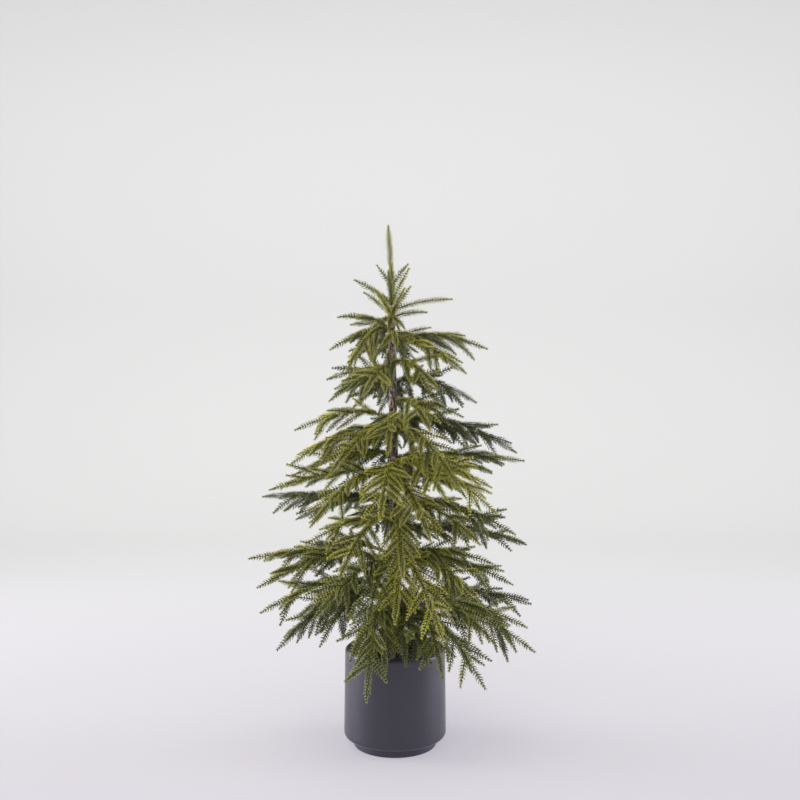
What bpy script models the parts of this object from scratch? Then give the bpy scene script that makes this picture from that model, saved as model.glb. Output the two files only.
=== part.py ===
"""Artificial Japanese cedar in a charcoal pot, 1.20 m tall.

A bark-wrapped pole stands in a filled round pot. Wired sprays of moulded needles leave the
pole all the way up, rise a little and arch over, and a needled leader makes the top. Each
limb's foliage is one solid: needled twigs that branch from one stem. Metres, +Z up, the
origin at the middle of the pot's underside, the front towards -Y.
"""

import math
import random

import bmesh
import bpy
import numpy as np
from mathutils import Matrix, Vector

UP = Vector((0, 0, 1))
ACROSS = Vector((1, 0, 0))
ASKEW = Vector((0.31, 0.94, 0.12))  # no limb runs along this, so each ring is turned from it
STEEP = 0.9  # a line that climbs more than this is turned from ACROSS instead
CLEAR = 0.0003  # gap between neighbours that touch on the real tree
SEED = 11
WELD = 1e-6

# Pot: a straight, slightly flared wall with a thick rim, on a recessed foot.
POT_HEIGHT = 0.225
POT_TOP_RADIUS = 0.1165
POT_FLARE = 0.002  # how much wider the wall is at its lower end
POT_WALL = 0.010
POT_FLOOR = 0.030  # inner floor above the ground
POT_SIDES = 30
LIP_WIDTH = 0.016
LIP_DEPTH = 0.024
LIP_SLOPE = 0.006  # the lip's underside rises this much towards the mouth
EDGE_ROUND = 0.009
FOOT_RADIUS = 0.096
FOOT_HEIGHT = 0.020

# Filling: a cast block with a dark, slightly crowned top.
FILL_DEPTH = 0.034  # its edge lies this far below the rim
FILL_CROWN = 0.006
FILL_FLAT = 0.030  # radius of the flat middle that the trunk stands on

# Trunk: a tapered pole that leans a little to the left.
TRUNK_TOP = 0.985
TRUNK_BASE_RADIUS = 0.0120
TRUNK_TOP_RADIUS = 0.0080
TRUNK_FLARE = 0.004
TRUNK_FLARE_HEIGHT = 0.030
TRUNK_BASE_X = 0.0045
TRUNK_TOP_X = -0.0080
TRUNK_SIDES = 12
TRUNK_RINGS = 10
TOP_CUT = 0.002  # the top ring's points this near the top are cut level

# Boughs: the lower limbs, bare up to where their foliage starts.
BOUGH_LENGTH = 0.055
BOUGH_ROOT_RADIUS = 0.0048
BOUGH_TIP_RADIUS = 0.0034
BOUGH_SIDES = 6
BOUGH_RINGS = 3
BOUGH_BEND = 0.4  # where a bough turns upwards, as a share of its length
BOUGH_SOFTNESS = 0.5  # how much of its sprays' rise it has there
BOUGH_RISE = 0.8  # and at its tip

# Foliage: a twig is a three-sided core that needles stand out of.
STUB_LENGTH = 0.010  # the flat-cut stub that a limb's sprays leave
STUB_RADIUS = 0.0048
STUB_SIDES = 4
STUB_SINK = 0.4  # where in the stub its sprays begin, as a share of its length
ROOT_RADIUS = 0.0036  # of a spray's bare root
NECK_RADIUS = 0.0024  # of a side twig's bare root
CORE_RADIUS = 0.0046  # where its needles start
TIP_RADIUS = 0.0028
NEEDLE_REACH = 0.0110  # from a twig's middle line to a needle's point
NEEDLE_SWEEP = 0.010  # how far a needle leans towards the twig's tip
NEEDLE_PITCH = 0.028  # between one ring of needles and the next
BARE_PITCH = 0.055  # between the rings of a bare stretch
SPRAY_BEND = 0.35  # where a spray's arch bends, as a share of its reach
ARCH_STEPS = 16  # in a smooth line, before it is cut into its own steps
NEEDLED_SHARE = 0.60  # the outer share of a spray that carries needles
PAIR_STEP = 4  # a spray's pair of side twigs leaves it on this step from its tip
PAIR_STAGGER = 0.18  # how far from the middle of its step each twig of a pair leaves
SHORT_SPRAY = 0.150  # has one side twig only
SIDE_LENGTH = 0.072
SIDE_LENGTH_RANGE = 0.15
SIDE_NECK = 0.018  # a side twig's bare root
OWN_ROOM_FROM = 0.036  # beyond this, a side twig keeps clear of its own limb's twigs too
SIDE_RINGS = 3
SIDE_SPREAD = 40.0  # degrees off the spray's line
SIDE_SPREAD_RANGE = 8.0
SIDE_ROLL = -18.0  # side twigs hang a little below the spray's own plane
SIDE_ROLL_RANGE = 42.0
SIDE_SAG = 0.10
SIDE_TRIES = 6
SAMPLE_STEP = 0.006  # between the points that a twig's room is tested at
ROOM = 0.0012  # least free space between two limbs' needles

# The limbs, from the top down: name, height on the trunk, bearing, whether it has a bare
# bough, and its sprays. A spray is its bearing, its reach from the trunk, its rise in
# degrees, and how far its tip ends below the limb's root. Bearings run from +X (right)
# over +Y (back).
LIMBS = (
    ("top_left", 0.966, 198, False,
        ((196, 0.124, 42, -0.025), (184, 0.140, 14, 0.047), (222, 0.132, 20, 0.097))),
    ("top_right", 0.934, -15, False, ((-5, 0.217, 30, 0.014), (-34, 0.195, 16, 0.072))),
    ("top_back", 0.940, 88, False,
        ((48, 0.135, 32, 0.000), (88, 0.160, 26, 0.045), (132, 0.160, 24, 0.045))),
    ("top_front", 0.950, 278, False, ((276, 0.105, 30, 0.030),)),
    ("upper_left", 0.856, 172, False,
        ((165, 0.158, 30, 0.006), (150, 0.160, 22, 0.045), (190, 0.145, 22, 0.056))),
    ("upper_front_left", 0.872, 245, False, ((245, 0.145, 25, 0.060),)),
    ("upper_front_right", 0.888, -48, False, ((-48, 0.150, 20, 0.062),)),
    ("upper_right", 0.842, 30, False, ((20, 0.210, 25, 0.046), (52, 0.190, 22, 0.055))),
    ("upper_back", 0.830, 105, False, ((92, 0.180, 22, 0.050), (125, 0.175, 22, 0.050))),
    ("upper_low_right", 0.795, -30, False, ((-20, 0.166, 20, 0.032), (-58, 0.155, 22, 0.060))),
    ("mid_left", 0.757, 176, False, ((176, 0.228, 28, 0.026),)),
    ("mid_front_left", 0.728, 210, False, ((200, 0.244, 24, 0.072), (228, 0.200, 24, 0.085))),
    ("mid_front", 0.760, 268, False, ((266, 0.160, 30, 0.075),)),
    ("mid_right", 0.744, 20, False, ((15, 0.304, 26, 0.069), (36, 0.250, 22, 0.050))),
    ("mid_front_right", 0.730, -50, False, ((-48, 0.215, 22, 0.120),)),
    ("mid_back", 0.742, 85, False, ((100, 0.230, 20, 0.050), (70, 0.225, 20, 0.055))),
    ("mid_back_left", 0.705, 130, False, ((130, 0.245, 18, 0.050),)),
    ("waist_right", 0.665, 12, False, ((3, 0.302, 12, 0.008), (28, 0.270, 14, 0.045))),
    ("waist_front_right", 0.655, -40, False,
        ((-30, 0.245, 20, 0.046), (-22, 0.245, 22, 0.106), (-56, 0.205, 22, 0.070))),
    ("waist_back_left", 0.672, 152, False, ((160, 0.257, 20, 0.054), (138, 0.240, 18, 0.055))),
    ("waist_left", 0.628, 200, False, ((186, 0.284, 18, 0.034), (222, 0.240, 24, 0.100))),
    ("waist_front", 0.645, 262, False, ((262, 0.205, 25, 0.095),)),
    ("waist_low_front", 0.600, 292, False, ((292, 0.205, 25, 0.095),)),
    ("waist_back", 0.620, 72, False, ((55, 0.280, 16, 0.050), (88, 0.260, 18, 0.060))),
    ("low_right", 0.552, -24, False, ((-15, 0.279, 28, 0.054), (-38, 0.235, 26, 0.065))),
    ("low_left", 0.562, 158, False, ((166, 0.325, 14, -0.004), (150, 0.280, 15, 0.058))),
    ("low_front_left", 0.525, 220, False, ((203, 0.212, 20, 0.046), (240, 0.230, 24, 0.100))),
    ("low_front", 0.520, 276, False, ((275, 0.205, 28, 0.092),)),
    ("low_back", 0.530, 98, False, ((112, 0.280, 16, 0.050), (84, 0.270, 18, 0.060))),
    ("low_back_right", 0.489, 32, False, ((22, 0.346, 16, 0.046), (46, 0.300, 18, 0.045))),
    ("skirt_right", 0.432, -20, False,
        ((-8, 0.268, 22, 0.054), (-16, 0.226, 32, 0.002), (-36, 0.230, 22, 0.072))),
    ("skirt_front_right", 0.425, -74, False, ((-66, 0.246, 36, 0.126), (-90, 0.205, 34, 0.095))),
    ("skirt_left", 0.425, 187, True, ((183, 0.336, 16, -0.008), (193, 0.316, 16, 0.047))),
    ("skirt_front_left", 0.430, 240, False, ((230, 0.262, 22, 0.090), (254, 0.205, 25, 0.100))),
    ("skirt_back_left", 0.440, 146, True, ((135, 0.310, 15, 0.050), (158, 0.292, 15, 0.035))),
    ("skirt_back", 0.410, 72, True, ((84, 0.290, 16, 0.050), (60, 0.310, 16, 0.050))),
    ("base_left", 0.360, 188, True, ((178, 0.314, 18, 0.058), (206, 0.235, 22, 0.040))),
    ("base_low_left", 0.330, 200, True, ((190, 0.273, 22, 0.098), (216, 0.205, 25, 0.070))),
    ("base_right", 0.312, -14, True,
        ((-4, 0.300, 20, 0.037), (-12, 0.317, 16, 0.080), (-34, 0.256, 20, 0.040))),
    ("base_back_right", 0.325, 30, True, ((18, 0.343, 15, 0.024), (46, 0.300, 18, 0.050))),
    ("base_front_right", 0.290, -50, True, ((-44, 0.262, 28, 0.104), (-64, 0.225, 28, 0.075))),
    ("base_front_left", 0.300, 246, True,
        ((251, 0.250, 35, 0.122), (230, 0.200, 30, 0.058), (264, 0.205, 30, 0.075))),
    ("base_front", 0.318, 284, False, ((289, 0.205, 30, 0.080), (276, 0.200, 30, 0.078))),
    ("base_back_left", 0.320, 138, True, ((150, 0.285, 18, 0.060), (125, 0.270, 20, 0.070))),
    ("base_back", 0.300, 86, True, ((98, 0.270, 20, 0.060), (72, 0.280, 18, 0.080))),
)

# The leader: its whorls of upright twigs, each whorl's height with its twigs' bearing,
# steepness and length, and two arms that arch out low on its right: height, bearing,
# reach, rise and drop.
LEADER_TOP = 1.203
LEADER_TOP_X = -0.0158
LEADER_BOW = 0.004
LEADER_PITCH = 0.022
LEADER_BARE = {0, 1, 3}  # the steps that its whorls and arms leave
LEADER_WHORLS = (
    (1.066, ((10, 57, 0.068), (95, 60, 0.062), (182, 59, 0.060), (275, 64, 0.058))),
    (1.026, ((15, 66, 0.098), (85, 48, 0.088), (178, 38, 0.105), (262, 58, 0.088))),
    (0.999, ((8, 60, 0.084), (110, 42, 0.088), (166, 44, 0.088), (270, 48, 0.084))),
)
LEADER_ARMS = ((1.006, 2, 0.137, 30, -0.030), (0.992, -24, 0.084, 24, -0.010))


def heading(bearing):
    """The level direction of a bearing in degrees."""
    angle = math.radians(bearing)
    return Vector((math.cos(angle), math.sin(angle), 0))


def mix(low, high, share):
    return low + (high - low) * share


def trunk_foot():
    """Height of the trunk's flat cut, just above the filling."""
    return POT_HEIGHT - FILL_DEPTH + FILL_CROWN + CLEAR


def trunk_centre(height):
    """The trunk's middle at this height: a slow lean that grows towards the top."""
    share = (height - trunk_foot()) / (TRUNK_TOP - trunk_foot())
    return Vector((mix(TRUNK_BASE_X, TRUNK_TOP_X, share), 0, height))


def trunk_radius(height):
    share = (height - trunk_foot()) / (TRUNK_TOP - trunk_foot())
    flare = TRUNK_FLARE * max(0.0, 1 - (height - trunk_foot()) / TRUNK_FLARE_HEIGHT) ** 2
    return mix(TRUNK_BASE_RADIUS, TRUNK_TOP_RADIUS, share) + flare


def arch(start, bend, end, count):
    """Points along the quadratic curve from start over bend to end."""
    points = []
    for step in range(count + 1):
        t = step / count
        points.append((1 - t) ** 2 * start + 2 * t * (1 - t) * bend + t * t * end)
    return points


def length_of(points):
    return sum((b - a).length for a, b in zip(points, points[1:]))


def point_along(points, distance):
    """The point and direction at this distance along a line of points."""
    for a, b in zip(points, points[1:]):
        span = (b - a).length
        if distance <= span or b is points[-1]:
            return a.lerp(b, distance / span), (b - a).normalized()
        distance -= span
    return None


def stretch(points, first, last, pitch):
    """Evenly spaced points from one distance along the line to another."""
    count = max(2, round((last - first) / pitch))
    return [point_along(points, mix(first, last, step / count))[0] for step in range(count + 1)]


def limb_start(height, bearing):
    """Where a limb meets the trunk, just clear of its bark."""
    return trunk_centre(height) + heading(bearing) * (trunk_radius(height) + CLEAR)


def bough_line(limb):
    """A bough's middle line: level out of the trunk, then rising as its sprays do."""
    _, height, bearing, _, sprays = limb
    rise = math.tan(math.radians(sum(spray[2] for spray in sprays) / len(sprays)))
    start = limb_start(height, bearing)
    out = heading(bearing) * BOUGH_LENGTH
    climb = UP * BOUGH_LENGTH * rise
    bend = start + out * BOUGH_BEND + climb * BOUGH_BEND * BOUGH_SOFTNESS
    return arch(start, bend, start + out + climb * BOUGH_RISE, BOUGH_RINGS)


def spray_line(limb, spray):
    """A spray's middle line, from its limb's stem over the arch to its tip."""
    _, height, limb_bearing, has_bough, _ = limb
    bearing, reach, rise, drop = spray
    start = limb_start(height, limb_bearing)
    if has_bough:
        line = bough_line(limb)
        start = line[-1] + (line[-1] - line[-2]).normalized() * CLEAR
    end = trunk_centre(height) + heading(bearing) * reach - UP * drop
    flat = (end - start).to_2d().length
    way = (heading(limb_bearing) + heading(bearing)).normalized()
    bend = start + (way + UP * math.tan(math.radians(rise))) * SPRAY_BEND * flat
    return arch(start, bend, end, ARCH_STEPS)


def side_twig(base, along, side, rng):
    """A side twig's line: out from the spray at a slant, mostly hanging, and sagging."""
    spread = math.radians(SIDE_SPREAD + rng.uniform(-SIDE_SPREAD_RANGE, SIDE_SPREAD_RANGE))
    roll = math.radians(SIDE_ROLL + rng.uniform(-SIDE_ROLL_RANGE, SIDE_ROLL_RANGE))
    across = along.cross(UP).normalized() * side
    over = across.cross(along) * side
    outwards = across * math.cos(roll) + over * math.sin(roll)
    way = along * math.cos(spread) + outwards * math.sin(spread)
    length = SIDE_LENGTH * (1 + rng.uniform(-SIDE_LENGTH_RANGE, SIDE_LENGTH_RANGE))
    return sagging(base, way, length)


def sagging(base, way, length):
    """A side twig's line from its root: a bare neck, then evenly spaced to its tip."""
    end = base + way * length - UP * SIDE_SAG * length
    line = arch(base, base + way * length / 2, end, ARCH_STEPS)
    total = length_of(line)
    return [line[0]] + stretch(line, SIDE_NECK, total, (total - SIDE_NECK) / SIDE_RINGS)


def leader_line():
    start = trunk_centre(TRUNK_TOP) + UP * CLEAR
    end = Vector((LEADER_TOP_X, 0, LEADER_TOP))
    return arch(start, start.lerp(end, 0.5) + heading(0) * LEADER_BOW, end, ARCH_STEPS)


def leader_point(height):
    """The point of the leader at this height."""
    for a, b in zip(leader_line(), leader_line()[1:]):
        if b.z >= height:
            return a.lerp(b, (height - a.z) / (b.z - a.z))
    return None


def leader_twigs():
    """The leader's own line, its upright twigs and its two arms, as (line, bare)."""
    line = leader_line()
    twigs = [(stretch(line, 0, length_of(line), LEADER_PITCH), LEADER_BARE)]
    for height, whorl in LEADER_WHORLS:
        for bearing, steepness, length in whorl:
            slope = math.radians(steepness)
            way = heading(bearing) * math.cos(slope) + UP * math.sin(slope)
            twigs.append((sagging(leader_point(height), way, length), {0}))
    for height, bearing, reach, rise, drop in LEADER_ARMS:
        base = leader_point(height)
        end = base + heading(bearing) * reach - UP * drop
        bend = base + (heading(bearing) + UP * math.tan(math.radians(rise))) * SPRAY_BEND * reach
        line = arch(base, bend, end, ARCH_STEPS)
        twigs.append(([line[0]] + stretch(line, SIDE_NECK, length_of(line), NEEDLE_PITCH), {0}))
    return twigs


class Space:
    """The room that the tree has taken up, as points with a radius and an owner."""

    def __init__(self):
        self.points = np.empty((0, 3))
        self.radii = np.empty(0)
        self.owners = np.empty(0, int)

    @staticmethod
    def sampled(line):
        total = length_of(line)
        count = max(2, math.ceil(total / SAMPLE_STEP))
        return np.array([point_along(line, total * step / count)[0] for step in range(count + 1)])

    def take(self, line, radius, owner):
        points = self.sampled(line)
        self.points = np.concatenate([self.points, points])
        self.radii = np.concatenate([self.radii, np.full(len(points), radius)])
        self.owners = np.concatenate([self.owners, np.full(len(points), owner)])

    def free(self, line, radius, owner):
        """True if a twig of this radius stays clear of every other limb and of the pot."""
        points = self.sampled(line)
        over_pot = np.hypot(points[:, 0], points[:, 1]) < POT_TOP_RADIUS + POT_FLARE + radius + ROOM
        if (over_pot & (points[:, 2] < POT_HEIGHT + radius + ROOM)).any():
            return False
        gaps = np.linalg.norm(points[:, None] - self.points[None], axis=2) - self.radii - radius
        outer = points[np.linalg.norm(points - points[0], axis=1) > OWN_ROOM_FROM]
        own = np.linalg.norm(outer[:, None] - self.points[None, self.owners == owner], axis=2)
        own_clear = (own - self.radii[self.owners == owner] - radius > 0).all()
        return bool((gaps[:, self.owners != owner] > ROOM).all() and own_clear)


def spray_twig(limb, spray):
    """A spray's line, with wide steps where it is bare, and the steps with no needles.

    Those are the ones at its root and the ones that its side twigs leave.
    """
    line = spray_line(limb, spray)
    total = length_of(line)
    bare = total * (1 - NEEDLED_SHARE)
    root = stretch(line, STUB_LENGTH * STUB_SINK, bare, BARE_PITCH)
    line = root + stretch(line, bare, total, NEEDLE_PITCH)[1:]
    count = len(line) - 1
    bare_steps = set(range(len(root) - 1)) | {count - PAIR_STEP}
    return line, bare_steps


def root_steps(bare):
    """How many steps at a twig's root carry no needles."""
    return next(step for step in range(len(bare) + 1) if step not in bare)


def side_places(count, reach, number):
    """The step of a spray that each of its side twigs leaves, its place on it and its side."""
    turn = 1 if number % 2 else -1
    places = [(count - PAIR_STEP, 0.5 + PAIR_STAGGER, turn)]
    if reach > SHORT_SPRAY:
        places.append((count - PAIR_STEP, 0.5 - PAIR_STAGGER, -turn))
    return places


def plan_twigs():
    """Each mass's twigs as (line, bare steps), limb by limb and then the leader.

    The bare steps carry no needles. A side twig that would leave its limb's room is turned
    another way, and is left out where no way is free.
    """
    space = Space()
    space.take([trunk_centre(trunk_foot()), trunk_centre(TRUNK_TOP)], TRUNK_BASE_RADIUS, -1)
    plans = [[spray_twig(limb, spray) for spray in limb[4]] for limb in LIMBS]
    plans.append(leader_twigs())
    for owner, twigs in enumerate(plans):
        for line, bare in twigs:
            root = root_steps(bare)
            if root:
                space.take(line[:root + 1], ROOT_RADIUS, owner)
            space.take(line[root:], NEEDLE_REACH, owner)
    for owner, limb in enumerate(LIMBS):
        rng = random.Random(SEED + owner)
        for number, spray in enumerate(limb[4]):
            line, _ = plans[owner][number]
            for step, share, side in side_places(len(line) - 1, spray[1], number):
                base = line[step].lerp(line[step + 1], share)
                along = (line[step + 1] - line[step]).normalized()
                for _ in range(SIDE_TRIES):
                    twig = side_twig(base, along, side, rng)
                    if space.free(twig, NEEDLE_REACH, owner):
                        space.take(twig, NEEDLE_REACH, owner)
                        plans[owner].append((twig, {0}))
                        break
    return plans


def new_object(name, mesh_or_curve, material, collection):
    made = bpy.data.objects.new(name, mesh_or_curve)
    collection.objects.link(made)
    if material:
        made.data.materials.append(material)
    return made


def plain_material(name, colour, roughness):
    material = bpy.data.materials.new(name)
    material.use_nodes = True
    shader = material.node_tree.nodes["Principled BSDF"]
    shader.inputs["Base Color"].default_value = (*colour, 1)
    shader.inputs["Roughness"].default_value = roughness
    shader.inputs["Metallic"].default_value = 0.0
    material.diffuse_color = (*colour, 1)
    return material


def turned(name, profile, material, collection):
    """A solid turned about Z from (radius, height) points, inside first and outside last."""
    mesh = bpy.data.meshes.new(name)
    edges = [(n, n + 1) for n in range(len(profile) - 1)]
    mesh.from_pydata([(radius, 0, height) for radius, height in profile], edges, [])
    made = new_object(name, mesh, material, collection)
    screw = made.modifiers.new("turn", "SCREW")
    screw.steps = POT_SIDES
    screw.render_steps = POT_SIDES
    screw.use_merge_vertices = True
    screw.merge_threshold = 1e-5
    return made


def corner(centre_radius, centre_height, size, first, last, count):
    """Profile points round an edge, from one angle to another in degrees."""
    points = []
    for step in range(count + 1):
        angle = math.radians(mix(first, last, step / count))
        points.append((centre_radius + size * math.cos(angle), centre_height + size * math.sin(angle)))
    return points


def make_pot(material, collection):
    outer = POT_TOP_RADIUS
    low = POT_TOP_RADIUS + POT_FLARE
    mouth = outer - LIP_WIDTH
    well = low - POT_WALL
    inner_round = LIP_WIDTH - EDGE_ROUND
    profile = [(0, POT_FLOOR), (well, POT_FLOOR), (well, POT_HEIGHT - LIP_DEPTH - LIP_SLOPE)]
    profile += [(mouth, POT_HEIGHT - LIP_DEPTH)]
    profile += corner(mouth + inner_round, POT_HEIGHT - inner_round, inner_round, 180, 90, 1)
    profile += corner(outer - EDGE_ROUND, POT_HEIGHT - EDGE_ROUND, EDGE_ROUND, 90, 0, 2)[1:]
    profile += corner(low - EDGE_ROUND, FOOT_HEIGHT + EDGE_ROUND, EDGE_ROUND, 0, -90, 2)
    profile += [(FOOT_RADIUS, FOOT_HEIGHT), (FOOT_RADIUS, 0), (0, 0)]
    turned("pot", profile, material, collection)


def make_filling(material, collection):
    """The block cast in the pot, a little clear of its wall and under its lip."""
    radius = POT_TOP_RADIUS + POT_FLARE - POT_WALL - CLEAR / math.cos(math.pi / POT_SIDES)
    edge = POT_HEIGHT - FILL_DEPTH
    foot = POT_FLOOR + CLEAR
    crown = edge + FILL_CROWN
    profile = [(0, crown), (FILL_FLAT, crown), (radius, edge), (radius, foot), (0, foot)]
    turned("filling", profile, material, collection)


def ring_at(mesh, centre, along, radius, sides, turn=0.0):
    """A ring of vertices round a point, square to a direction."""
    side = along.cross(ASKEW).normalized()
    if abs(along.z) > STEEP:
        side = (ACROSS - along * along.x).normalized()
    spots = []
    for k in range(sides):
        angle = turn + 2 * math.pi * k / sides
        spots.append(mesh.verts.new(centre + Matrix.Rotation(angle, 3, along) @ side * radius))
    return spots


def directions(line):
    """The direction at each point of a line, halfway between its neighbours."""
    ways = []
    for n in range(len(line)):
        ways.append((line[min(n + 1, len(line) - 1)] - line[max(n - 1, 0)]).normalized())
    return ways


def limb_mesh(line, radii, sides, first_way=None):
    """A tapered limb with flat ends. first_way turns its first cut."""
    mesh = bmesh.new()
    ways = directions(line)
    if first_way:
        ways[0] = first_way
    rings = [ring_at(mesh, p, w, r, sides) for p, w, r in zip(line, ways, radii)]
    mesh.faces.new(reversed(rings[0]))
    mesh.faces.new(rings[-1])
    for lower, upper in zip(rings, rings[1:]):
        for k in range(sides):
            after = (k + 1) % sides
            mesh.faces.new((lower[k], lower[after], upper[after], upper[k]))
    return mesh


def needled_mesh(line, bare):
    """A three-sided core whose every second face is a needle, except on its bare steps."""
    mesh = bmesh.new()
    ways = directions(line)
    count = len(line) - 1
    first = root_steps(bare)
    root = NECK_RADIUS if bare == {0} else ROOT_RADIUS
    rings = []
    for n in range(count):
        tapered = mix(CORE_RADIUS, TIP_RADIUS, (n - first) / (count - first))
        radius = tapered if n >= first or bare == LEADER_BARE else root
        rings.append(ring_at(mesh, line[n], ways[n], radius, 3, n * math.pi / 3))
    mesh.faces.new(reversed(rings[0]))
    for n, (lower, upper) in enumerate(zip(rings, rings[1:])):
        drawn = []
        for k in range(3):
            after = (k + 1) % 3
            drawn.append(mesh.faces.new((lower[k], lower[after], upper[k])))
            mesh.faces.new((upper[k], lower[after], upper[after]))
        if n in bare:
            continue
        way = (line[n + 1] - line[n]).normalized()
        for point in bmesh.ops.poke(mesh, faces=drawn)["verts"]:
            out = point.co - line[n]
            out -= way * out.dot(way)
            point.co += out.normalized() * (NEEDLE_REACH - out.length) + way * NEEDLE_SWEEP
    tip = mesh.verts.new(line[-1])
    for k in range(3):
        mesh.faces.new((rings[-1][k], rings[-1][(k + 1) % 3], tip))
    return mesh


def object_from(name, mesh, material, collection):
    data = bpy.data.meshes.new(name)
    bmesh.ops.recalc_face_normals(mesh, faces=mesh.faces)
    mesh.to_mesh(data)
    mesh.free()
    return new_object(name, data, material, collection)


def islands(mesh):
    """The mesh's separate surfaces, as lists of faces, the largest first."""
    found = []
    seen = set()
    for first in mesh.faces:
        if first in seen:
            continue
        island = {first}
        waiting = [first]
        while waiting:
            for edge in waiting.pop().edges:
                beyond = set(edge.link_faces) - island
                island |= beyond
                waiting += beyond
        seen |= island
        found.append(list(island))
    return sorted(found, key=len, reverse=True)


def tidied(data):
    """Drops loose scraps and sealed hollows, and says whether each edge has two faces."""
    mesh = bmesh.new()
    mesh.from_mesh(data)
    bmesh.ops.triangulate(mesh, faces=mesh.faces)
    bmesh.ops.remove_doubles(mesh, verts=mesh.verts, dist=WELD)
    for scrap in islands(mesh)[1:]:
        bmesh.ops.delete(mesh, geom=scrap, context="FACES")
    mesh.to_mesh(data)
    closed = len(mesh.verts) > 0 and all(len(edge.link_faces) == 2 for edge in mesh.edges)
    mesh.free()
    return closed


def fuse(base, pieces):
    """Joins pieces onto base by one Boolean union, applies it and removes the pieces.

    The manifold solver takes over where the exact one leaves a gap.
    """
    joining = bpy.data.collections.new("joining")
    bpy.context.scene.collection.children.link(joining)
    for piece in pieces:
        for home in piece.users_collection:
            home.objects.unlink(piece)
        joining.objects.link(piece)
    union = base.modifiers.new("fuse", "BOOLEAN")
    union.operation = "UNION"
    union.operand_type = "COLLECTION"
    union.collection = joining
    for solver in ("EXACT", "MANIFOLD"):
        union.solver = solver
        bpy.context.view_layer.update()
        graph = bpy.context.evaluated_depsgraph_get()
        data = bpy.data.meshes.new_from_object(base.evaluated_get(graph), depsgraph=graph)
        if tidied(data):
            break
    base.modifiers.remove(union)
    base.data = data
    for piece in pieces:
        bpy.data.objects.remove(piece)
    bpy.data.collections.remove(joining)


def make_trunk(material, collection):
    foot = trunk_foot()
    heights = [foot, foot + TRUNK_FLARE_HEIGHT / 2, foot + TRUNK_FLARE_HEIGHT]
    more = TRUNK_RINGS - len(heights)
    heights += [mix(heights[-1], TRUNK_TOP, (n + 1) / more) for n in range(more)]
    line = [trunk_centre(height) for height in heights]
    mesh = limb_mesh(line, [trunk_radius(height) for height in heights], TRUNK_SIDES, UP)
    for vertex in mesh.verts:
        if vertex.co.z > TRUNK_TOP - TOP_CUT:
            vertex.co.z = TRUNK_TOP
    made = object_from("trunk", mesh, material, collection)
    made.data.shade_smooth()


def make_bough(limb, material, collection):
    line = bough_line(limb)
    radii = [mix(BOUGH_ROOT_RADIUS, BOUGH_TIP_RADIUS, n / BOUGH_RINGS) for n in range(len(line))]
    mesh = limb_mesh(line, radii, BOUGH_SIDES, heading(limb[2]))
    made = object_from(limb[0] + "_bough", mesh, material, collection)
    made.data.shade_smooth()


def stub_line(limb):
    """The short stub at the root of a limb's foliage, on its bough's tip or the trunk."""
    _, height, bearing, has_bough, _ = limb
    if has_bough:
        line = bough_line(limb)
        way = (line[-1] - line[-2]).normalized()
        start = line[-1] + way * CLEAR
        return [start, start + way * STUB_LENGTH], way
    start = limb_start(height, bearing)
    return [start, start + heading(bearing) * STUB_LENGTH], heading(bearing)


def make_mass(name, stub, twigs, material, collection):
    """One limb's foliage as a single solid: its stub with every twig fused on."""
    pieces = []
    for number, (line, bare) in enumerate(twigs):
        pieces.append(object_from(f"{name}_{number}", needled_mesh(line, bare), None, collection))
    if stub:
        line, way = stub
        base = object_from(name, limb_mesh(line, [STUB_RADIUS] * 2, STUB_SIDES, way), material, collection)
    else:
        base = pieces.pop(0)
        base.name = name
        base.data.materials.append(material)
    fuse(base, pieces)


def main():
    for old in list(bpy.data.objects):
        bpy.data.objects.remove(old)
    tree = bpy.data.collections.new("potted_cedar")
    bpy.context.scene.collection.children.link(tree)
    charcoal = plain_material("charcoal_pot", (0.060, 0.056, 0.072), 0.55)
    cast = plain_material("dark_filling", (0.012, 0.011, 0.012), 0.90)
    bark = plain_material("wrapped_bark", (0.090, 0.040, 0.032), 0.85)
    needles = plain_material("moulded_needles", (0.110, 0.115, 0.030), 0.60)

    make_pot(charcoal, tree)
    make_filling(cast, tree)
    make_trunk(bark, tree)
    plans = plan_twigs()
    for limb, twigs in zip(LIMBS, plans):
        if limb[3]:
            make_bough(limb, bark, tree)
        make_mass(limb[0] + "_foliage", stub_line(limb), twigs, needles, tree)
    make_mass("leader", None, plans[-1], needles, tree)


if __name__ == "__main__":
    main()
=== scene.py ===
"""Artificial Japanese cedar in a charcoal planter, 1.20 m tall: its looks.

Metres, +Z up, the origin at the middle of the pot's underside, the front towards -Y.
The file goes from the ground up: planter, filling, trunk, boughs, sprays, leader, needles,
and last the studio that it stands in.
"""

import math
import random

import bpy
from mathutils import Matrix, Vector, noise


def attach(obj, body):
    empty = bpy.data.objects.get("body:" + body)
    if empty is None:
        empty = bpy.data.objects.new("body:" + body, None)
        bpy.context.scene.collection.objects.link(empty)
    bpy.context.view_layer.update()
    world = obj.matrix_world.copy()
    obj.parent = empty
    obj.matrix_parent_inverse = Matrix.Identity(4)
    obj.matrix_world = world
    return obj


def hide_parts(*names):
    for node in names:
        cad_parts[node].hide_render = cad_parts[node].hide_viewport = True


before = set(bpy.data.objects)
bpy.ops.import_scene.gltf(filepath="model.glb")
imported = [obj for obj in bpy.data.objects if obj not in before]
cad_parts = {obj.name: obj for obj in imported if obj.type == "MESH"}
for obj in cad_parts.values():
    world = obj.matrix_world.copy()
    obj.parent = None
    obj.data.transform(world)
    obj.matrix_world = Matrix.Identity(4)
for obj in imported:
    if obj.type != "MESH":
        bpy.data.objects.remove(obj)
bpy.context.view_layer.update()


# ======================================================================================
# Planter
# A straight round pot, cast in one piece in fibre-clay and painted a matt charcoal. Its
# rim is a thick turned-in lip, its edges are rounded and it stands on a recessed foot.
# ======================================================================================

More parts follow.
